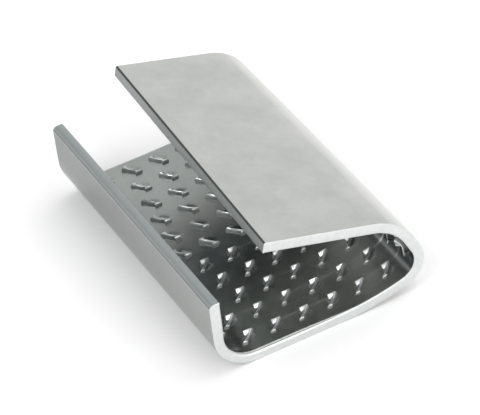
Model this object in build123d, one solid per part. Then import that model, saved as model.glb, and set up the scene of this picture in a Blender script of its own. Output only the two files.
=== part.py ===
from build123d import *
from math import atan2, cos, degrees, radians, sin, tan
import os

# Serrated seal for 16 mm plastic strapping: one steel strip folded along its length.
# X runs across the strap, from the short leg (-X) to the closed nose (+X).
# Y runs along the strap and Z points up. The flat of the base rests on Z = 0.
# Every bend radius is measured on the inside of the fold, all sizes in mm and degrees.

# Strip
GAUGE = 0.95
SEAL_LENGTH = 28.5

# Short leg that stands up beside the strap
LEG_STRAIGHT = 3.6
LEG_BEND_RADIUS = 2.65
LEG_BEND_ANGLE = 90.0
LEG_EDGE_ROUND = 0.4

# Base: a flat stretch, then a slow rise towards the nose
BASE_FLAT = 7.4
BASE_RISE_RADIUS = 21.05
BASE_RISE_ANGLE = 17.0

# Closed nose, and the softer bend from the nose into the flap
NOSE_RADIUS = 1.55
NOSE_ANGLE = 98.0
NOSE_FLAT = 1.3
TOP_BEND_RADIUS = 4.25
TOP_BEND_ANGLE = 49.5

# Long flap over the strap, whose free edge was sheared a little out of square
FLAP_LENGTH = 8.9
FLAP_SKEW = 1.2

# Lattice of barbs on the inner face: rows across the strap, staggered into a chevron
ROW_PITCH = 2.485
COLUMN_PITCH = 2.6
FIRST_COLUMN = 0.57
ROW_STAGGER = 0.32
NEAR_ROW_SHIFT = 0.5
END_MARGIN = 1.2
EDGE_MARGIN = 2.0

# One barb: a blade raised from the strip, Z-shaped in plan, with a lip at its +X end
# and a shorter foot at its -X end
BARB_ANGLE = 42.0
STROKE_LENGTH = 1.35
LIP_LENGTH = 0.58
FOOT_LENGTH = 0.32
CREST_WIDTH = 0.08
ROOT_WIDTH = 0.3
BLADE_HEIGHT = 0.36
BLADE_ROOT = 0.3

# The pocket beside the blade's stroke: a ramp that is deepest against the blade
POCKET_LENGTH = 0.9
POCKET_WIDTH = 0.6
POCKET_DEPTH = 0.22
POCKET_SHIFT = 0.15
CUT_HEIGHT = 0.8

# Reach of the slanted shear past the flap's edge and both ends
SHEAR_REACH = 2.0


def fold_edges(heading, stretches, depth, side):
    """Edges of the strip at a depth behind its inner face, walked from the leg bend's foot."""
    edges = []
    start = Vector(0, GAUGE - depth)
    for size, turn in stretches:
        if turn:
            edge = JernArc(start, heading, size + depth, side * turn)
        else:
            edge = Line(start, start + heading * size)
        edges.append(edge)
        start = edge @ 1
        heading = edge % 1
    return edges


def front_edges(depth):
    """Base, nose and flap."""
    stretches = [
        (BASE_FLAT, 0),
        (BASE_RISE_RADIUS, BASE_RISE_ANGLE),
        (NOSE_RADIUS, NOSE_ANGLE),
        (NOSE_FLAT, 0),
        (TOP_BEND_RADIUS, TOP_BEND_ANGLE),
        (FLAP_LENGTH + FLAP_SKEW, 0),
    ]
    return fold_edges(Vector(1, 0), stretches, depth, 1)


def leg_edges(depth):
    """Leg bend and leg."""
    stretches = [(LEG_BEND_RADIUS, LEG_BEND_ANGLE), (LEG_STRAIGHT, 0)]
    return fold_edges(Vector(-1, 0), stretches, depth, -1)


def strip_section():
    """Closed section of the folded strip, with the leg's outer top corner rounded."""
    inner_front = front_edges(0)
    inner_leg = leg_edges(0)
    outer_front = front_edges(GAUGE)
    outer_leg = leg_edges(GAUGE)
    flap_end = Line(inner_front[-1] @ 1, outer_front[-1] @ 1)
    leg_end = Line(inner_leg[-1] @ 1, outer_leg[-1] @ 1)
    loop = inner_front + [flap_end] + outer_front + outer_leg + [leg_end] + inner_leg
    section = make_face(loop)
    corner = section.vertices().sort_by_distance(outer_leg[-1] @ 1)[0]
    return fillet(corner, LEG_EDGE_ROUND)


def inner_line(edges):
    """The inner face's own line, stood up in the XZ plane."""
    return Plane.XZ * Wire(edges)


def station(distance, front, leg):
    """Plane on the inner face at a distance along the strip, z into the channel."""
    path, along, sense = (front, distance, 1) if distance >= 0 else (leg, -distance, -1)
    point = path.position_at(along, position_mode=PositionMode.LENGTH)
    heading = path.tangent_at(along, position_mode=PositionMode.LENGTH) * sense
    return Plane(origin=point, x_dir=heading, z_dir=heading.cross(Vector(0, 1, 0)))


def flap_waste(front):
    """Metal beyond the flap's slanted free edge, from the near end to the far end."""
    edge_plane = station(front.length, front, front)
    far_y = SEAL_LENGTH / 2 + SHEAR_REACH
    stray = SHEAR_REACH * FLAP_SKEW / SEAL_LENGTH
    near_corner = (stray, -far_y)
    far_corner = (-FLAP_SKEW - stray, far_y)
    waste = Polyline(near_corner, far_corner, (SHEAR_REACH, far_y), close=True)
    return extrude(edge_plane * make_face(waste), SHEAR_REACH, both=True)


def blade_corners(width, z):
    """Corners of the blade's Z at one level."""
    slope = tan(radians(BARB_ANGLE))
    half_stroke = width / 2 / sin(radians(BARB_ANGLE))
    reach = STROKE_LENGTH / 2 * cos(radians(BARB_ANGLE))
    above = reach * slope + width / 2
    below = reach * slope - width / 2
    lip_tip = reach - LIP_LENGTH
    foot_tip = FOOT_LENGTH - reach
    corners = [
        (lip_tip, above),
        (above / slope + half_stroke, above),
        (half_stroke - below / slope, -below),
        (foot_tip, -below),
        (foot_tip, -above),
        (-above / slope - half_stroke, -above),
        (below / slope - half_stroke, below),
        (lip_tip, below),
    ]
    return [Vector(x, y, z) for x, y in corners]


def barb():
    """Blade between its wide root in the strip and its thin crest, its stroke rising to +Y."""
    root = blade_corners(ROOT_WIDTH, -BLADE_ROOT)
    crest = blade_corners(CREST_WIDTH, BLADE_HEIGHT)
    outlines = [root, crest]
    for i in range(len(root)):
        outlines.append([root[i - 1], root[i], crest[i], crest[i - 1]])
    flanks = [make_face(Polyline(outline, close=True)) for outline in outlines]
    return Solid(Shell(flanks)).fix()


def pocket():
    """Tool that cuts the ramp on the foot's side of the stroke."""
    slope = degrees(atan2(POCKET_DEPTH, POCKET_WIDTH))
    block = Box(
        POCKET_LENGTH,
        POCKET_WIDTH + POCKET_DEPTH,
        CUT_HEIGHT,
        align=(Align.CENTER, Align.MIN, Align.MIN),
    )
    ramp = Pos(-POCKET_SHIFT, 0, -POCKET_DEPTH) * Rot(slope, 0, 0) * block
    return Rot(0, 0, BARB_ANGLE + 180) * ramp


def both_hands(shape):
    """The shape for each hand: 1 for the near rows, -1 for the rest, which are mirrored."""
    return {1: shape, -1: mirror(shape, about=Plane.XZ)}


def barb_stations(front, leg):
    """Every barb's place: its plane on the inner face and its hand."""
    places = []
    half_rows = int((SEAL_LENGTH / 2 - END_MARGIN) / ROW_PITCH)
    for row in range(-half_rows, half_rows + 1):
        y = row * ROW_PITCH
        hand = 1 if row < 0 else -1
        shift = FIRST_COLUMN + ROW_STAGGER * abs(row) + (NEAR_ROW_SHIFT if row < 0 else 0)
        flap_end = front.length - FLAP_SKEW * (y / SEAL_LENGTH + 1 / 2)
        first = -int((leg.length - EDGE_MARGIN + shift) / COLUMN_PITCH)
        last = int((flap_end - EDGE_MARGIN - shift) / COLUMN_PITCH)
        for column in range(first, last + 1):
            place = station(shift + column * COLUMN_PITCH, front, leg)
            places.append((place.location * Pos(0, y, 0), hand))
    return places


def serrated_seal():
    """The folded strip with every barb raised, its width centred on the origin."""
    front = inner_line(front_edges(0))
    leg = inner_line(leg_edges(0))
    strip = extrude(Plane.XZ * strip_section(), SEAL_LENGTH / 2, both=True)
    strip -= flap_waste(front)
    pockets = both_hands(pocket())
    barbs = both_hands(barb())
    places = barb_stations(front, leg)
    strip = strip - [place * pockets[hand] for place, hand in places]
    strip = strip + [place * barbs[hand] for place, hand in places]
    middle = strip.bounding_box().center()
    return Pos(-middle.X, 0, 0) * strip


os.makedirs("parts", exist_ok=True)
seal = serrated_seal()
export_step(seal, "parts/strap_seal.step")
print("barbed seal, size", seal.bounding_box().size, "volume", seal.volume, "solids", len(seal.solids()))
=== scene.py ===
"""Looks of a serrated strapping seal: one zinc-plated steel strip folded into a barbed channel."""

import logging
import math
from dataclasses import dataclass, field
from enum import IntEnum
from typing import Any

import bpy
import numpy as np
from mathutils import Matrix, Vector


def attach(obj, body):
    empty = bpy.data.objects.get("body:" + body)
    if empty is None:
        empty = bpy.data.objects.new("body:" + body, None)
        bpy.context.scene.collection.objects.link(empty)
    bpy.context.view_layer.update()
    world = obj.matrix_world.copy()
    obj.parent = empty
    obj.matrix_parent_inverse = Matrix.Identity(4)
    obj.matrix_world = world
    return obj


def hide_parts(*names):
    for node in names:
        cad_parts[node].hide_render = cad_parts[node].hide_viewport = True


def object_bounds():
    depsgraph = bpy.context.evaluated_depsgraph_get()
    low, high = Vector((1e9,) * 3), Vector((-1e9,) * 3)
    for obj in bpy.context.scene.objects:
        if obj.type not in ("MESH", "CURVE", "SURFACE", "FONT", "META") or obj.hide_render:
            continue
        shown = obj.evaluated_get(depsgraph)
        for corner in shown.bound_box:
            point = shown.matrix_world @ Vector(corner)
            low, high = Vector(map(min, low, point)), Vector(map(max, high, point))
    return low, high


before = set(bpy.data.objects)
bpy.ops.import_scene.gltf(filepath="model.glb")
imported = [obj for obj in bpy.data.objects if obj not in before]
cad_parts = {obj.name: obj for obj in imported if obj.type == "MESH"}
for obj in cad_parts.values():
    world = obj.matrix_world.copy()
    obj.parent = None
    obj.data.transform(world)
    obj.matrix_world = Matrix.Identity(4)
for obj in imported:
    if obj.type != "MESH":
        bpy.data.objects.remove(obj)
cad_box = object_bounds()

MM = 0.001
STRIP_UV = "strip"
# One of these masks paints shade: dark in the channel under the flap and on the leg's outer face.
MASKS = ("barb_light_paint", "sunk", "score", "painted_dark_edge", "painted_shade", "inside")
log = logging.getLogger("strapping_seal")


class Finish(IntEnum):
    """Material slot of each face of the seal."""

    ZINC_SHEET = 0
    SHEARED_END = 1
    SLIT_EDGE = 2
    TORN_BURR = 3


def linear(hex_colour: str) -> tuple[float, float, float, float]:
    """Turn an sRGB hex colour into a linear RGBA value.

    Args:
        hex_colour: six hex digits with a leading hash.

    Returns:
        Linear red, green, blue and an alpha of one.
    """
    channels = [int(hex_colour[i:i + 2], 16) / 255 for i in (1, 3, 5)]
    values = [c / 12.92 if c <= 0.04045 else ((c + 0.055) / 1.055) ** 2.4 for c in channels]
    return (*values, 1.0)


def add_node(tree: Any, kind: str, settings: dict[str, Any], inputs: dict[Any, Any]) -> Any:
    """Add a shader node with its settings, values and links.

    Args:
        tree: node tree that takes the node.
        kind: Blender's name for the node's type.
        settings: properties of the node itself.
        inputs: socket name or index, with a value or another node's output socket.

    Returns:
        The new node.
    """
    node = tree.nodes.new(kind)
    for name, value in settings.items():
        setattr(node, name, value)
    for name, value in inputs.items():
        if isinstance(value, bpy.types.NodeSocket):
            tree.links.new(value, node.inputs[name])
        else:
            node.inputs[name].default_value = value
    return node


@dataclass
class Fold:
    """The strip's own line: runs and bends along its inner face, from leg top to flap edge, in mm."""

    gauge: float = 0.95
    leg_straight: float = 3.6
    leg_bend: tuple[float, float] = (2.65, 90.0)
    base_flat: float = 7.4
    base_rise: tuple[float, float] = (21.05, 17.0)
    nose: tuple[float, float] = (1.55, 98.0)
    nose_flat: float = 1.3
    top_bend: tuple[float, float] = (4.25, 49.5)
    flap: float = 10.1

    def stretches(self) -> list[tuple[float, float]]:
        """Length and curvature of each run and bend, in order."""
        bend = lambda b: (b[0] * math.radians(b[1]), 1 / b[0])
        return [
            (self.leg_straight, 0.0),
            bend(self.leg_bend),
            (self.base_flat, 0.0),
            bend(self.base_rise),
            bend(self.nose),
            (self.nose_flat, 0.0),
            bend(self.top_bend),
            (self.flap, 0.0),
        ]

    def starts(self) -> np.ndarray:
        """Distance along the strip at which each stretch starts, with the total at the end."""
        return np.concatenate([[0.0], np.cumsum([length for length, _ in self.stretches()])])

    @property
    def foot(self) -> float:
        """Distance along the strip of the leg bend's foot, where the flat base starts."""
        return float(self.starts()[2])

    @property
    def total(self) -> float:
        """Length of the strip along its inner face."""
        return float(self.starts()[-1])

    def place(self, along: np.ndarray, depth: np.ndarray) -> tuple[np.ndarray, np.ndarray]:
        """Fold flat strip coordinates into the section.

        A run goes on straight from its start and a bend turns on an arc, so the heading is the
        sum of curvature times length. A point lies at its depth behind the inner line, on the
        normal to the heading.

        Args:
            along: distance along the inner face, in mm.
            depth: distance behind the inner face, in mm, negative into the channel.

        Returns:
            x and z of each point, in mm, with the flat of the base on z = 0 and the leg's
            outer face on x = 0.
        """
        starts = self.starts()
        lengths, curves = (np.array(v) for v in zip(*self.stretches()))
        turns = np.concatenate([[0.0], np.cumsum(lengths * curves)])[:-1] - math.pi / 2
        dx, dz = self._step(lengths, curves, turns)
        x0 = self.gauge + np.concatenate([[0.0], np.cumsum(dx)])
        z0 = self.gauge + self.leg_bend[0] + self.leg_straight + np.concatenate([[0.0], np.cumsum(dz)])
        index = np.clip(np.searchsorted(starts, along, side="right") - 1, 0, len(lengths) - 1)
        local, curve, turn = along - starts[index], curves[index], turns[index]
        dx, dz = self._step(local, curve, turn)
        heading = turn + local * curve
        x = x0[index] + dx + np.sin(heading) * depth
        z = z0[index] + dz - np.cos(heading) * depth
        return x, z

    @staticmethod
    def _step(length: Any, curve: Any, turn: Any) -> tuple[Any, Any]:
        """Travel in x and z along a run or an arc of that length, curvature and first heading."""
        bent = np.abs(curve) > 0
        safe = np.where(bent, curve, 1.0)
        end = turn + length * curve
        dx = np.where(bent, (np.sin(end) - np.sin(turn)) / safe, length * np.cos(turn))
        dz = np.where(bent, (np.cos(turn) - np.cos(end)) / safe, length * np.sin(turn))
        return dx, dz


@dataclass
class Lattice:
    """Chevron lattice of barbs on the flat strip, in mm. The two halves lean opposite ways."""

    row_pitch: float = 2.485
    column_pitch: float = 2.6
    first_column: float = 0.57
    row_stagger: float = 0.32
    near_row_shift: float = 0.5
    end_margin: float = 1.2
    edge_margin: float = 2.0

    def shift(self, row: np.ndarray) -> np.ndarray:
        """Distance from the leg bend's foot to the first barb of a row."""
        return self.first_column + self.row_stagger * np.abs(row) + self.near_row_shift * (row < 0)

    def limits(self, row: np.ndarray, fold: Fold, length: float, skew: float) -> tuple[np.ndarray, np.ndarray]:
        """First and last column of each row that keeps its distance from the strip's edges."""
        flap_end = fold.total - skew * (0.5 + row * self.row_pitch / length) - fold.foot
        first = -np.floor((fold.foot - self.edge_margin + self.shift(row)) / self.column_pitch)
        last = np.floor((flap_end - self.edge_margin - self.shift(row)) / self.column_pitch)
        return first, last

    def half_rows(self, length: float) -> int:
        """Rows on each side of the middle one."""
        return int((length / 2 - self.end_margin) / self.row_pitch)

    def barbs(self, fold: Fold, length: float, skew: float) -> tuple[np.ndarray, np.ndarray, np.ndarray]:
        """Distance along the strip, place along the length and hand of every barb."""
        reach = self.half_rows(length)
        row, column = np.meshgrid(np.arange(-reach, reach + 1), np.arange(-8, 16), indexing="ij")
        first, last = self.limits(row, fold, length, skew)
        kept = (column >= first) & (column <= last)
        along = fold.foot + self.shift(row) + column * self.column_pitch
        hand = np.where(row < 0, 1.0, -1.0)
        return along[kept], (row * self.row_pitch)[kept], hand[kept]

    def nearest(self, along: np.ndarray, y: np.ndarray, fold: Fold, length: float, skew: float) -> tuple:
        """Local x and y from the nearest barb's middle, its hand, and whether a barb is there."""
        reach = self.half_rows(length)
        row = np.clip(np.round(y / self.row_pitch), -reach, reach)
        from_first = along - fold.foot - self.shift(row)
        column = np.round(from_first / self.column_pitch)
        first, last = self.limits(row, fold, length, skew)
        present = (column >= first) & (column <= last)
        hand = np.where(row < 0, 1.0, -1.0)
        return from_first - column * self.column_pitch, y - row * self.row_pitch, hand, present


@dataclass
class Barb:
    """One torn barb: a Z-shaped blade with a lip, a stroke and a foot, in mm."""

    angle: float = 42.0
    stroke: float = 1.35
    lip: float = 0.62
    far_lip: float = 0.4
    foot: float = 0.24
    height: float = 0.36
    curl: float = 0.05
    heel: float = 0.2
    sag: float = 0.5
    far_sag: float = 0.25
    low_foot: float = 0.52
    low_far_lip: float = 0.3
    unevenness: float = 0.12
    tear: float = 0.014
    wander: float = 0.04
    seed: int = 11

    def corners(self, width: float, lip: float) -> np.ndarray:
        """The eight corners of the Z at one width, clockwise from the lip's tip."""
        slope = math.tan(math.radians(self.angle))
        half_stroke = width / 2 / math.sin(math.radians(self.angle))
        reach = self.stroke / 2 * math.cos(math.radians(self.angle))
        above, below = reach * slope + width / 2, reach * slope - width / 2
        return np.array([
            (reach - lip, above),
            (above / slope + half_stroke, above),
            (half_stroke - below / slope, -below),
            (self.foot - reach, -below),
            (self.foot - reach, -above),
            (-above / slope - half_stroke, -above),
            (below / slope - half_stroke, below),
            (reach - lip, below),
        ])

    def outline(self, width: float, lip: float) -> np.ndarray:
        """The Z's outline with points added along its edges."""
        steps = np.array([5, 6, 3, 2, 5, 6, 3, 2])
        edge = np.repeat(np.arange(8), steps)
        share = np.concatenate([np.arange(n) / n for n in steps])[:, None]
        corners = self.corners(width, lip)
        return corners[edge] * (1 - share) + corners[(edge + 1) % 8] * share

    def hollows(self) -> np.ndarray:
        """-1 for outline points on the lip's inner face, 1 for those on the foot's, 0 for the rest."""
        number = np.arange(32)
        lip, foot = (number >= 27) & (number <= 30), (number >= 11) & (number <= 14)
        return np.where(foot, 1.0, 0.0) - np.where(lip, 1.0, 0.0)

    def levels(self) -> list[tuple[float, float]]:
        """Height and width of each level, from the root to the softened crest."""
        return [(-0.25, 0.22), (0.0, 0.19), (0.13, 0.17), (0.24, 0.15), (0.34, 0.07), (self.height, 0.03)]

    def blades(self, hand: np.ndarray) -> np.ndarray:
        """Shape one barb for every hand given, each a little different.

        Every level is a scaled copy of the Z. Above the strip the crest sags along the stroke
        and drops towards its lower end, z = z (1 - sag (1 - t^2) - drop) with t the place
        between foot (-1) and lip (1). The lip and foot curl away from each other by
        curl t (z / height)^2, their inner faces slope, and seeded noise tears the crest.

        Args:
            hand: 1 for each barb of the near rows and -1 for the rest.

        Returns:
            Local x, y and z by barb, level and outline point.
        """
        rng = np.random.default_rng(self.seed)
        count, near = len(hand), (hand > 0)[:, None, None]
        plan, far = (np.stack([self.outline(width, lip) for _, width in self.levels()]) for lip in (self.lip, self.far_lip))
        z = np.array([height for height, _ in self.levels()])[None, :, None] * np.ones((count, 1, plan.shape[1]))
        x, y = (np.where(near, plan[None, :, :, i], far[None, :, :, i]) + 0 * z for i in (0, 1))
        middle = self.stroke / 2 * math.sin(math.radians(self.angle))
        t = np.clip(y / middle, -1, 1)
        up = np.clip(z / self.height, 0, 1)
        size = 1 + self.unevenness * rng.uniform(-1, 1, (count, 1, 1))
        lean = rng.uniform(-1, 1, (count, 1, 1)) * self.wander
        sag = np.where(near, self.sag, self.far_sag) * (1 - t ** 2)
        kept = 1 - sag - np.where(near, self.low_foot * (1 - t) / 2, self.low_far_lip * (1 + t) / 2)
        z = np.where(z > 0, z * size * kept, z)
        y = y + self.curl * t * up ** 2 + self.heel * self.hollows() * (1 - up) * kept
        x = x * (1 + 0.5 * self.unevenness * rng.uniform(-1, 1, (count, 1, 1))) + lean
        torn = rng.uniform(-1, 1, (3,) + z.shape) * self.tear * (up > 0.3)
        return np.stack([x + torn[0], y + torn[1], z + torn[2] * (up < 0.99)], axis=-1)

    def faces(self, count: int, hand: np.ndarray) -> tuple[list, int]:
        """Faces of every barb's closed shell, wound outwards for its hand."""
        levels, points = len(self.levels()), len(self.hollows())
        ring = np.arange(points)
        after = (ring + 1) % points
        lower = (np.arange(levels - 1) * points)[:, None]
        side = np.stack([lower + ring, lower + points + ring, lower + points + after, lower + after], axis=-1).reshape(-1, 4)
        result = []
        for number in range(count):
            base = number * levels * points
            turn = 1 if hand[number] > 0 else -1
            result += (side[:, ::turn] + base).tolist()
            result.append((ring[::-turn] + base + (levels - 1) * points).tolist())
            result.append((ring[::turn] + base).tolist())
        return result, levels * points


@dataclass
class FoldedStrip:
    """The whole seal: a skin round the folded strip, with every barb rooted in it, in mm."""

    fold: Fold = field(default_factory=Fold)
    lattice: Lattice = field(default_factory=Lattice)
    barb: Barb = field(default_factory=Barb)
    length: float = 28.5
    flap_skew: float = 1.2
    pocket: tuple[float, float, float] = (0.9, 0.6, 0.11)
    pocket_shift: float = 0.15
    lip_pocket: tuple[float, float, float] = (0.7, 0.35, 0.08)
    score_width: float = 0.09
    inner_steps: int = 270
    length_steps: int = 190
    outer_steps: int = 40
    edge_round: float = 0.07
    leg_round: float = 0.4
    # Share of painted shade on the leg's outer face.
    leg_painted_shade: float = 0.6
    rolled_edge: float = 0.12
    end_round: float = 0.07
    end_zone: float = 0.6
    end_steps: int = 10
    end_rollover: float = 0.16
    base_rollover: float = 1.6
    round_steps: int = 4
    hold: float = 0.04
    inside: float = 1e-7

    def outline(self) -> tuple[np.ndarray, np.ndarray, np.ndarray]:
        """Closed line round the flat strip's section.

        It runs along the inner face to the flap's edge, round it, back along the outer face
        and round the leg's edge. Each corner is a quarter circle.

        Returns:
            Distance along the strip, depth behind the inner face and the number of the
            stretch (0 inner face, 1 and 2 flap edge, 3 outer face, 4 and 5 leg edge).
        """
        total, gauge = self.fold.total, self.fold.gauge
        quarter = np.linspace(0, math.pi / 2, self.round_steps + 1)
        small, roll, leg = self.edge_round, self.rolled_edge, self.leg_round
        inner = np.linspace(small, total - small, self.inner_steps)
        outer = self.outer_stations(total - roll, leg)
        along = [
            inner,
            total - small + small * np.sin(quarter)[1:],
            np.full(2, total),
            total - roll + roll * np.cos(quarter),
            outer,
            leg - leg * np.sin(quarter),
            small - small * np.cos(quarter)[:-1],
        ]
        depth = [
            np.zeros_like(inner),
            small - small * np.cos(quarter)[1:],
            np.array([small + self.hold, gauge - roll - self.hold]),
            gauge - roll + roll * np.sin(quarter),
            np.full_like(outer, gauge),
            gauge - leg + leg * np.cos(quarter),
            small - small * np.sin(quarter)[:-1],
        ]
        stretch = np.repeat([0, 1, 1, 2, 3, 4, 5], [len(a) for a in along])
        return np.concatenate(along), np.concatenate(depth), stretch

    def outer_stations(self, start: float, end: float) -> np.ndarray:
        """Stations along the outer face, closer together where the strip is bent."""
        fine = np.linspace(start, end, 4000)
        curves = np.array([curve for _, curve in self.fold.stretches()])
        index = np.clip(np.searchsorted(self.fold.starts(), fine, side="right") - 1, 0, len(curves) - 1)
        weight = np.cumsum(0.25 + np.minimum(curves[index] * 3.0, 2.0))
        spread = np.interp(np.linspace(weight[0], weight[-1], self.outer_steps), weight, fine)
        return np.concatenate([[start - self.hold], spread[1:-1], [end + self.hold]])

    def rows(self) -> tuple[np.ndarray, np.ndarray]:
        """Places along the length and the share by which the section is drawn in there."""
        half, r = self.length / 2, self.end_round
        turn = np.linspace(0, math.pi / 2, self.round_steps + 1)[:-1]
        dense = np.linspace(-half + r, -half + self.end_zone, self.end_steps)
        body = np.concatenate([dense[:-1], np.linspace(-half + self.end_zone, half - self.end_zone, self.length_steps), -dense[-2::-1]])
        near = -half + r - r * np.cos(turn)
        inset = 1 - np.sin(turn)
        return np.concatenate([near, body, -near[::-1]]), np.concatenate([inset, body * 0, inset[::-1]])

    def relief(self, along: np.ndarray, y: np.ndarray) -> tuple[np.ndarray, np.ndarray, np.ndarray]:
        """Depth of the pockets and the masks that go with them.

        A pocket is a ramp along the stroke, 1 - v / width deep at v from it, between two end
        walls. The one on the foot's side is deep and the one under the lip is shallow.

        Args:
            along: distance along the strip.
            y: place along the seal's length.

        Returns:
            Depth in mm, a mask of the pockets' floors and a mask of the scored lines.
        """
        x, dy, hand, present = self.lattice.nearest(along, y, self.fold, self.length, self.flap_skew)
        c, s = math.cos(math.radians(self.barb.angle)), math.sin(math.radians(self.barb.angle))
        u, v = x * c + dy * s * hand, dy * hand * c - x * s
        sunk = np.zeros_like(u)
        for (long, wide, deep), side, centre in (
            (self.pocket, -1, self.pocket_shift), (self.lip_pocket, 1, self.pocket_shift)):
            ramp = np.clip(1 - side * v / wide, 0, 1) * (side * v > -0.02)
            walls = np.clip((long / 2 + 0.05 - np.abs(u - centre)) / 0.2, 0, 1)
            sunk = np.maximum(sunk, ramp * walls * deep)
        sunk = sunk * present
        line = self.barb.stroke / 2 * s
        score = np.exp(-((dy - line * 1.1) / self.score_width) ** 2) * (hand > 0)
        return sunk, np.clip(sunk / self.pocket[2], 0, 1), score

    def skin(self) -> dict[str, np.ndarray]:
        """Work out every point of the strip's skin.

        The outline is swept along the length and drawn in at both ends, most of all on the
        inner face, where the shear rolled the edge over. The flap's edge slides along the strip
        with the length, which slants it. The flat strip is then folded.

        Returns:
            Arrays by row and outline point: x, y, z, along and one for each mask.
        """
        along0, depth0, stretch = self.outline()
        y0, inset = self.rows()
        total, gauge = self.fold.total, self.fold.gauge
        along, y = np.meshgrid(along0, y0)
        drawn = inset[:, None] * self.end_round
        half = self.length / 2
        slide_from = float(self.fold.starts()[-2])
        slide = np.clip((along - slide_from) / (total - 1.5 - slide_from), 0, 1)
        along = total / 2 + (along - total / 2) * (1 - 2 * drawn / total)
        along = along - self.flap_skew * (0.5 + y / self.length) * slide
        inner = stretch == 0
        sunk, pocket, score = self.relief(along, y)
        depth = gauge / 2 + (depth0 - gauge / 2) * (1 - 2 * drawn / gauge)
        reach = self.end_rollover * (1 + self.base_rollover * self.over(along, 2.0, 6.0) * (1 - self.over(along, 11.0, 18.0)))
        to_end = np.clip((np.abs(y) - half + reach) / reach, 0, 1)
        rolled = (1 - np.sqrt(1 - to_end ** 2 * 0.9)) * reach
        depth = np.where(inner, np.maximum(depth, rolled) + sunk, depth)
        x, z = self.fold.place(along, depth)
        # Painted dark on the slit edges: painted shade along the middle of the leg's round and over the flap edge,
        # darkest on the flap edge's rolled corner.
        corner = 0.8 * np.clip(1 - np.abs(1 - along / self.leg_round - 0.42) / 0.4, 0, 1)
        painted_dark_edge = (stretch == 2) + (stretch == 1) * 0.4 + (stretch == 4) * corner
        # Painted shade: the leg's outer face darker towards its far end, and the inner face dark from the nose round
        # onto the flap's underside.
        leg_face_shade = (1 - self.over(along, 5.5, 8.5)) * (stretch == 3) * self.leg_painted_shade * (1 + 0.5 * y / self.length)
        flap = self.over(y, -3.0, 4.5) * (1 - 0.3 * self.over(y, 8.0, 13.0))
        on_flap = self.over(along, 25.0, 29.0)
        channel_shade = 0.9 * self.over(along, 19.5, 23.0) * (1 - on_flap) + flap * on_flap
        painted_shade = np.where(inner, channel_shade, leg_face_shade)
        return {"x": x, "y": y, "z": z, "along": along, "barb_light_paint": 0 * x, "sunk": pocket * inner,
                "score": score * inner, "painted_dark_edge": painted_dark_edge, "painted_shade": painted_shade, "inside": inner + 0 * x}

    @staticmethod
    def over(along: np.ndarray, start: float, end: float) -> np.ndarray:
        """Share from 0 to 1 that rises smoothly between two distances along the strip."""
        share = np.clip((along - start) / (end - start), 0, 1)
        return share * share * (3 - 2 * share)

    def barbs(self) -> tuple[dict[str, np.ndarray], np.ndarray]:
        """Every barb's points, bent with the strip, and the barbs' hands."""
        along0, y0, hand = self.lattice.barbs(self.fold, self.length, self.flap_skew)
        local = self.barb.blades(hand)
        along = along0[:, None, None] + local[..., 0]
        y = y0[:, None, None] + local[..., 1] * hand[:, None, None]
        x, z = self.fold.place(along, -local[..., 2])
        level = np.array([height for height, _ in self.barb.levels()])[None, :, None] / self.barb.height
        # Painted light share: rises with height to a painted highlight at the crest; the lip's and foot's inner faces
        # get the painted highlight in full.
        barb_light_paint = np.maximum(np.clip(level, 0, 1), np.abs(self.barb.hollows()) * (level > 0)) + 0 * x
        none = np.zeros_like(x)
        return {"x": x, "y": y, "z": z, "along": along, "barb_light_paint": barb_light_paint, "sunk": none,
                "score": none, "painted_dark_edge": none, "painted_shade": none, "inside": none}, hand

    def build(self) -> bpy.types.Object:
        """Make the seal's mesh, in metres in the frame.

        Returns:
            The seal's object, at the origin.
        """
        skin = self.skin()
        barbs, hand = self.barbs()
        rows, points = skin["x"].shape
        first = np.arange(rows - 1)[:, None] * points + np.arange(points)[None, :]
        following = np.arange(rows - 1)[:, None] * points + (np.arange(points)[None, :] + 1) % points
        quads = np.stack([first, first + points, following + points, following], axis=-1).reshape(-1, 4)
        ends = [np.arange(points).tolist(), (np.arange(points)[::-1] + (rows - 1) * points).tolist()]
        shells, _ = self.barb.faces(len(hand), hand)
        offset = rows * points
        shells = [[corner + offset for corner in face] for face in shells]
        grid = {key: np.concatenate([skin[key].ravel(), barbs[key].ravel()]) for key in skin}
        low, high = (np.array(corner, dtype=float) for corner in cad_box)
        corners = np.stack([grid["x"] * MM + low[0], grid["y"] * MM, grid["z"] * MM], axis=-1)
        corners = np.clip(corners, low + self.inside, high - self.inside)
        mesh = bpy.data.meshes.new("strap_seal_skin")
        mesh.from_pydata(corners.tolist(), [], quads.tolist() + ends + shells)
        self.mark(mesh, grid, self.finishes(quads, points, len(shells)))
        seal = bpy.data.objects.new("strap_seal_skin", mesh)
        bpy.context.scene.collection.objects.link(seal)
        return seal

    def finishes(self, quads: np.ndarray, points: int, shells: int) -> np.ndarray:
        """Finish of each face: sheet, slit edges, sheared ends, then the barbs."""
        _, _, stretch = self.outline()
        _, inset = self.rows()
        slit = ~np.isin(stretch[quads[:, 0] % points], (0, 3))
        end = (inset[quads[:, 0] // points] > 0) | (inset[quads[:, 1] // points] > 0)
        finish = np.where(end, Finish.SHEARED_END, np.where(slit, Finish.SLIT_EDGE, Finish.ZINC_SHEET))
        return np.concatenate([finish, [Finish.SHEARED_END] * 2, [Finish.TORN_BURR] * shells]).astype(np.int32)

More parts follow.
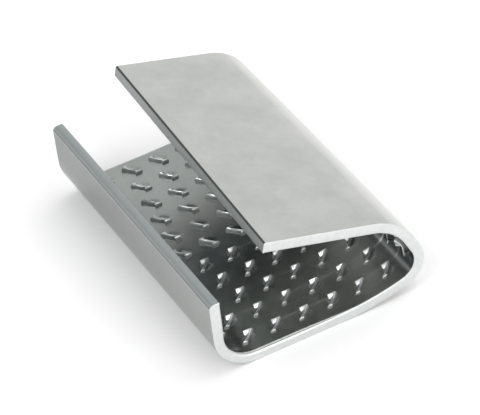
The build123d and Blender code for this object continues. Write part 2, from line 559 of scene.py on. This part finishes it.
    def mark(self, mesh: bpy.types.Mesh, grid: dict[str, np.ndarray], finish: np.ndarray) -> None:
        """Write the masks, the strip's UV map, the finishes and the smooth shading.

        Args:
            mesh: the seal's mesh.
            grid: the masks and flat coordinates of every point.
            finish: finish of every face.
        """
        for name in MASKS:
            values = mesh.attributes.new(name, "FLOAT", "POINT")
            values.data.foreach_set("value", grid[name].astype(np.float32))
        corner = np.empty(len(mesh.loops), dtype=np.int32)
        mesh.loops.foreach_get("vertex_index", corner)
        flat = np.stack([grid["along"][corner], grid["y"][corner]], axis=-1)
        mesh.uv_layers.new(name=STRIP_UV).data.foreach_set("uv", flat.astype(np.float32).ravel())
        mesh.polygons.foreach_set("material_index", finish)
        mesh.polygons.foreach_set("use_smooth", np.ones(len(mesh.polygons), dtype=bool))
        mesh.set_sharp_from_angle(angle=math.radians(38))
        mesh.update()

    def dress(self, seal: bpy.types.Object) -> None:
        """Give the seal its finishes, in the order of Finish."""
        for finish in (ZincSheet(), ShearedEnd(), SlitEdge(), TornBurr()):
            seal.data.materials.append(finish.build())


@dataclass(frozen=True)
class ZincSheet:
    """Satin zinc plate on cold-rolled strip: a soft grey metal sheen with a fine rolled grain."""

    name: str = "zinc_plated_rolled_steel"
    colour: str = "#C9CAC7"
    dull: str = "#BDBFBC"
    # Pocket floors are painted this grey: painted shade where the sheet is bare, painted light over the painted shade
    # under the flap.
    pocket_paint_tone: str = "#A3A7A8"
    scored: str = "#E6E7E6"
    # Colour of the painted shade in the channel and on the leg's outer face.
    painted_shade_colour: str = "#4C5254"
    roughness: float = 0.18
    scored_metal: float = 0.8
    scuffing: float = 0.05
    mottle_mm: float = 3.2
    grain_mm: float = 0.11
    rolling_mm: float = 0.16
    rolling_length_mm: float = 6.0

    def build(self) -> bpy.types.Material:
        """Make the material from the strip's UV map, its pocket and score masks and its mask of painted shade; the
        pocket floors are painted one grey.
        """
        material = bpy.data.materials.new(self.name)
        material.use_nodes = True
        tree = material.node_tree
        shader = tree.nodes["Principled BSDF"]
        place = add_node(tree, "ShaderNodeTexCoord", {}, {})
        strip = add_node(tree, "ShaderNodeUVMap", {"uv_map": STRIP_UV}, {})
        mottle = add_node(tree, "ShaderNodeTexNoise", {}, {
            "Vector": place.outputs["Object"], "Scale": 1 / (self.mottle_mm * MM), "Detail": 5.0, "Roughness": 0.6})
        tone = add_node(tree, "ShaderNodeValToRGB", {}, {"Fac": mottle.outputs["Fac"]})
        tone.color_ramp.elements[0].position = 0.35
        tone.color_ramp.elements[0].color = linear(self.dull)
        tone.color_ramp.elements[1].position = 0.65
        tone.color_ramp.elements[1].color = linear(self.colour)
        # Painted shade mixed into the colour: dark in the channel under the flap, lighter on the leg's outer face.
        painted_shade = add_node(tree, "ShaderNodeAttribute", {"attribute_name": "painted_shade"}, {})
        shade_mixed = add_node(tree, "ShaderNodeMix", {"data_type": "RGBA"}, {
            "Factor": painted_shade.outputs["Fac"], "A": tone.outputs["Color"], "B": linear(self.painted_shade_colour)})
        # Pocket floors painted one grey: painted shade on the bare base, painted light in the shaded channel.
        sunk = add_node(tree, "ShaderNodeAttribute", {"attribute_name": "sunk"}, {})
        pocket_toned = add_node(tree, "ShaderNodeMix", {"data_type": "RGBA"}, {
            "Factor": sunk.outputs["Fac"], "A": shade_mixed.outputs[2], "B": linear(self.pocket_paint_tone)})
        score = add_node(tree, "ShaderNodeAttribute", {"attribute_name": "score"}, {})
        broken = add_node(tree, "ShaderNodeMapRange", {}, {
            "Value": mottle.outputs["Fac"], "From Min": 0.4, "From Max": 0.6, "To Min": 0.15})
        scratch = add_node(tree, "ShaderNodeMath", {"operation": "MULTIPLY"}, {
            0: score.outputs["Fac"], 1: broken.outputs["Result"]})
        marked = add_node(tree, "ShaderNodeMix", {"data_type": "RGBA"}, {
            "Factor": scratch.outputs[0], "A": pocket_toned.outputs[2], "B": linear(self.scored)})
        tree.links.new(marked.outputs[2], shader.inputs["Base Color"])
        chalky = add_node(tree, "ShaderNodeMapRange", {}, {
            "Value": scratch.outputs[0], "To Min": 1.0, "To Max": self.scored_metal})
        tree.links.new(chalky.outputs["Result"], shader.inputs["Metallic"])
        gloss = add_node(tree, "ShaderNodeMapRange", {}, {
            "Value": mottle.outputs["Fac"], "From Min": 0.3, "From Max": 0.7,
            "To Min": self.roughness - 0.03, "To Max": self.roughness + 0.05})
        inside = add_node(tree, "ShaderNodeAttribute", {"attribute_name": "inside"}, {})
        scuffed = add_node(tree, "ShaderNodeMath", {"operation": "MULTIPLY_ADD"}, {
            0: inside.outputs["Fac"], 1: self.scuffing, 2: gloss.outputs["Result"]})
        tree.links.new(scuffed.outputs[0], shader.inputs["Roughness"])
        stretch = add_node(tree, "ShaderNodeMapping", {}, {
            "Vector": strip.outputs["UV"],
            "Scale": (1 / self.rolling_length_mm, 1 / self.rolling_mm, 1.0)})
        rolling = add_node(tree, "ShaderNodeTexNoise", {}, {
            "Vector": stretch.outputs["Vector"], "Scale": 1.0, "Detail": 3.0})
        grain = add_node(tree, "ShaderNodeTexNoise", {}, {
            "Vector": place.outputs["Object"], "Scale": 1 / (self.grain_mm * MM), "Detail": 2.0})
        coarse = add_node(tree, "ShaderNodeBump", {}, {
            "Strength": 0.18, "Distance": 0.02 * MM, "Height": rolling.outputs["Fac"]})
        fine = add_node(tree, "ShaderNodeBump", {}, {
            "Strength": 0.35, "Distance": 0.012 * MM, "Height": grain.outputs["Fac"],
            "Normal": coarse.outputs["Normal"]})
        tree.links.new(fine.outputs["Normal"], shader.inputs["Normal"])
        return material


@dataclass(frozen=True)
class ShearedEnd:
    """Ends cut by the shear: bare bright steel, finely torn across the gauge."""

    name: str = "sheared_bright_steel"
    colour: str = "#E8EAE9"
    torn: str = "#CBCECD"
    roughness: float = 0.45
    tear_mm: float = 0.35
    grain_mm: float = 0.12

    def build(self) -> bpy.types.Material:
        """Make the material, with duller torn patches along the cut."""
        material = bpy.data.materials.new(self.name)
        material.use_nodes = True
        tree = material.node_tree
        shader = tree.nodes["Principled BSDF"]
        shader.inputs["Metallic"].default_value = 1.0
        shader.inputs["Roughness"].default_value = self.roughness
        place = add_node(tree, "ShaderNodeTexCoord", {}, {})
        tear = add_node(tree, "ShaderNodeTexNoise", {}, {
            "Vector": place.outputs["Object"], "Scale": 1 / (self.tear_mm * MM), "Detail": 4.0, "Roughness": 0.65})
        tone = add_node(tree, "ShaderNodeMix", {"data_type": "RGBA"}, {
            "Factor": tear.outputs["Fac"], "A": linear(self.colour), "B": linear(self.torn)})
        tree.links.new(tone.outputs[2], shader.inputs["Base Color"])
        grain = add_node(tree, "ShaderNodeTexNoise", {}, {
            "Vector": place.outputs["Object"], "Scale": 1 / (self.grain_mm * MM), "Detail": 4.0})
        bump = add_node(tree, "ShaderNodeBump", {}, {
            "Strength": 0.5, "Distance": 0.03 * MM, "Height": grain.outputs["Fac"]})
        tree.links.new(bump.outputs["Normal"], shader.inputs["Normal"])
        return material


@dataclass(frozen=True)
class SlitEdge:
    """Long edges left by the coil slitter: dull grey, painted darkest on the flap edge's rolled corner, with painted
    shade over the rest of the flap edge and along the middle of the leg's round.
    """

    name: str = "slit_dull_steel"
    colour: str = "#B0B4B3"
    # Dark colour painted on the slit edges: painted shade on the leg's round and the flap edge, darkest on its rolled
    # corner.
    rolled: str = "#565A59"
    roughness: float = 0.4
    streak_mm: float = 0.2
    streak_length_mm: float = 2.5

    def build(self) -> bpy.types.Material:
        """Make the material, streaked along the edge, with the painted dark of the edges mixed in."""
        material = bpy.data.materials.new(self.name)
        material.use_nodes = True
        tree = material.node_tree
        shader = tree.nodes["Principled BSDF"]
        shader.inputs["Metallic"].default_value = 1.0
        shader.inputs["Roughness"].default_value = self.roughness
        place = add_node(tree, "ShaderNodeTexCoord", {}, {})
        stretch = add_node(tree, "ShaderNodeMapping", {}, {
            "Vector": place.outputs["Object"],
            "Scale": (1 / (self.streak_mm * MM), 1 / (self.streak_length_mm * MM), 1 / (self.streak_mm * MM))})
        streak = add_node(tree, "ShaderNodeTexNoise", {}, {
            "Vector": stretch.outputs["Vector"], "Scale": 1.0, "Detail": 3.0})
        # Mixes in the painted dark of the slit edges.
        painted_dark_edge = add_node(tree, "ShaderNodeAttribute", {"attribute_name": "painted_dark_edge"}, {})
        tone = add_node(tree, "ShaderNodeMix", {"data_type": "RGBA"}, {
            "Factor": painted_dark_edge.outputs["Fac"], "A": linear(self.colour), "B": linear(self.rolled)})
        tree.links.new(tone.outputs[2], shader.inputs["Base Color"])
        bump = add_node(tree, "ShaderNodeBump", {}, {
            "Strength": 0.4, "Distance": 0.03 * MM, "Height": streak.outputs["Fac"]})
        tree.links.new(bump.outputs["Normal"], shader.inputs["Normal"])
        return material


@dataclass(frozen=True)
class TornBurr:
    """Barbs gouged out of the strip: torn steel, with a painted highlight at the crest and on the lip's and foot's
    inner faces, and painted shade towards the root.
    """

    name: str = "gouged_bright_steel"
    # Painted highlight colour at the crest, and painted shade colour towards the root.
    crest: str = "#F4F5F4"
    root: str = "#B0B4B4"
    bright_from: float = 0.55
    root_roughness: float = 0.7
    crest_roughness: float = 0.34
    grain_mm: float = 0.09

    def build(self) -> bpy.types.Material:
        """Make the material, brighter with height above the strip: a painted highlight at the crest and painted shade
        at the root.
        """
        material = bpy.data.materials.new(self.name)
        material.use_nodes = True
        tree = material.node_tree
        shader = tree.nodes["Principled BSDF"]
        shader.inputs["Metallic"].default_value = 1.0
        place = add_node(tree, "ShaderNodeTexCoord", {}, {})
        # Mask of the barbs' painted highlight and painted shade.
        barb_light_paint = add_node(tree, "ShaderNodeAttribute", {"attribute_name": "barb_light_paint"}, {})
        upper = add_node(tree, "ShaderNodeMapRange", {}, {
            "Value": barb_light_paint.outputs["Fac"], "From Min": self.bright_from, "From Max": 0.85})
        tone = add_node(tree, "ShaderNodeMix", {"data_type": "RGBA"}, {
            "Factor": upper.outputs["Result"], "A": linear(self.root), "B": linear(self.crest)})
        tree.links.new(tone.outputs[2], shader.inputs["Base Color"])
        gloss = add_node(tree, "ShaderNodeMapRange", {}, {
            "Value": upper.outputs["Result"], "To Min": self.root_roughness, "To Max": self.crest_roughness})
        tree.links.new(gloss.outputs["Result"], shader.inputs["Roughness"])
        grain = add_node(tree, "ShaderNodeTexNoise", {}, {
            "Vector": place.outputs["Object"], "Scale": 1 / (self.grain_mm * MM), "Detail": 3.0})
        bump = add_node(tree, "ShaderNodeBump", {}, {
            "Strength": 0.6, "Distance": 0.02 * MM, "Height": grain.outputs["Fac"]})
        tree.links.new(bump.outputs["Normal"], shader.inputs["Normal"])
        return material


@dataclass
class Studio:
    """White floor, surround with a darker ceiling, soft lamps and the camera of the photograph."""

    floor_size: float = 3.0
    ambient: str = "#BEBEBE"
    horizon: str = "#FFFFFF"
    ceiling: str = "#A6AEAE"
    floor_seen: str = "#FFFFFF"
    floor_felt: str = "#D0D0D0"
    floor_lift: float = 0.1
    azimuth: float = -23.529
    elevation: float = 38.283
    roll: float = -7.552
    distance: float = 0.25592
    target: tuple[float, float, float] = (-0.002856, -0.007297, 0.009481)
    focal_pixels: float = 3215.6
    image_width: int = 480
    sensor_width: float = 36.0

    def seen_directly(self, tree: Any) -> Any:
        """Socket that is 1 for camera, glossy and transmission rays."""
        path = add_node(tree, "ShaderNodeLightPath", {}, {})
        either = add_node(tree, "ShaderNodeMath", {"operation": "MAXIMUM"}, {
            0: path.outputs["Is Camera Ray"], 1: path.outputs["Is Glossy Ray"]})
        any_ray = add_node(tree, "ShaderNodeMath", {"operation": "MAXIMUM"}, {
            0: either.outputs[0], 1: path.outputs["Is Transmission Ray"]})
        return any_ray.outputs[0]

    def build_world(self) -> None:
        """Surround that is white at the horizon and darker overhead, and softer where it only lights."""
        world = bpy.data.worlds.new("studio_surround")
        bpy.context.scene.world = world
        world.use_nodes = True
        tree = world.node_tree
        background = tree.nodes["Background"]
        towards = add_node(tree, "ShaderNodeTexCoord", {}, {})
        parts = add_node(tree, "ShaderNodeSeparateXYZ", {}, {"Vector": towards.outputs["Generated"]})
        fade = add_node(tree, "ShaderNodeMapRange", {"interpolation_type": "SMOOTHSTEP"}, {
            "Value": parts.outputs["Z"], "From Min": 0.3, "From Max": 0.75})
        height = add_node(tree, "ShaderNodeMix", {"data_type": "RGBA"}, {
            "Factor": fade.outputs["Result"], "A": linear(self.horizon), "B": linear(self.ceiling)})
        light = add_node(tree, "ShaderNodeMix", {"data_type": "RGBA"}, {
            "Factor": self.seen_directly(tree), "A": linear(self.ambient), "B": height.outputs[2]})
        tree.links.new(light.outputs[2], background.inputs["Color"])

    def build_floor(self) -> bpy.types.Object:
        """Flat floor under the seal, which takes its shadow."""
        half = self.floor_size / 2
        mesh = bpy.data.meshes.new("studio_floor")
        mesh.from_pydata([(-half, -half, 0), (half, -half, 0), (half, half, 0), (-half, half, 0)], [], [(0, 1, 2, 3)])
        floor = bpy.data.objects.new("studio_floor", mesh)
        floor.location.z = -0.00002
        bpy.context.scene.collection.objects.link(floor)
        material = bpy.data.materials.new("matte_white_board")
        material.use_nodes = True
        tree = material.node_tree
        shader = tree.nodes["Principled BSDF"]
        shader.inputs["Roughness"].default_value = 0.9
        shader.inputs["Specular IOR Level"].default_value = 0.0
        tone = add_node(tree, "ShaderNodeMix", {"data_type": "RGBA"}, {
            "Factor": self.seen_directly(tree), "A": linear(self.floor_felt), "B": linear(self.floor_seen)})
        tree.links.new(tone.outputs[2], shader.inputs["Base Color"])
        glow = add_node(tree, "ShaderNodeMath", {"operation": "MULTIPLY"}, {
            0: self.seen_directly(tree), 1: self.floor_lift})
        shader.inputs["Emission Color"].default_value = linear(self.floor_seen)
        tree.links.new(glow.outputs[0], shader.inputs["Emission Strength"])
        mesh.materials.append(material)
        return floor

    def add_lamp(self, name: str, place: tuple, size: float, power: float) -> None:
        """Soft square lamp that points at the seal's middle."""
        lamp = bpy.data.lights.new(name, "AREA")
        lamp.size = size
        lamp.energy = power
        holder = bpy.data.objects.new(name, lamp)
        spot = Vector(place)
        aim = Vector((0.0, 0.0, 0.005)) - spot
        holder.matrix_world = Matrix.Translation(spot) @ aim.to_track_quat("-Z", "Y").to_matrix().to_4x4()
        bpy.context.scene.collection.objects.link(holder)

    def build_lamps(self) -> None:
        """Side softbox that shapes the shadow, and a front lamp that picks out ends and barbs."""
        self.add_lamp("overhead_softbox", (0.2, 0.05, 0.45), 0.5, 0.95)
        self.add_lamp("rim_softbox", (-0.27, -0.13, 0.34), 0.2, 0.5)
        self.add_lamp("front_softbox", (0.14, -0.45, 0.2), 0.3, 0.65)

    def build_camera(self) -> None:
        """Camera on the fitted line of sight, rolled as the photograph is."""
        a, e, r = (math.radians(v) for v in (self.azimuth, self.elevation, self.roll))
        back = Vector((math.sin(a) * math.cos(e), -math.cos(a) * math.cos(e), math.sin(e)))
        right = Vector((math.cos(a), math.sin(a), 0.0))
        up = back.cross(right)
        across = right * math.cos(r) + up * math.sin(r)
        upright = -right * math.sin(r) + up * math.cos(r)
        camera = bpy.data.cameras.new("photo_camera")
        camera.sensor_width = self.sensor_width
        camera.lens = self.focal_pixels * self.sensor_width / self.image_width
        camera.clip_start = 0.01
        holder = bpy.data.objects.new("photo_camera", camera)
        turn = Matrix((across, upright, back)).transposed().to_4x4()
        holder.matrix_world = Matrix.Translation(Vector(self.target) + back * self.distance) @ turn
        bpy.context.scene.collection.objects.link(holder)
        bpy.context.scene.camera = holder

    def build(self) -> None:
        """Set up the surround, floor, lamps, camera and plain colour management."""
        bpy.context.scene.view_settings.view_transform = "Standard"
        self.build_world()
        self.build_floor()
        self.build_lamps()
        self.build_camera()


def main() -> None:
    """Build the seal and the studio, and tie the seal to the frame."""
    logging.basicConfig(level=logging.INFO, format="%(name)s: %(message)s")
    strip = FoldedStrip()
    seal = strip.build()
    strip.dress(seal)
    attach(seal, "root")
    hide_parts("strap_seal")
    seal.data.calc_loop_triangles()
    log.info("%s: %d faces, %d triangles", seal.name, len(seal.data.polygons), len(seal.data.loop_triangles))
    Studio().build()


if __name__ == "__main__":
    main()
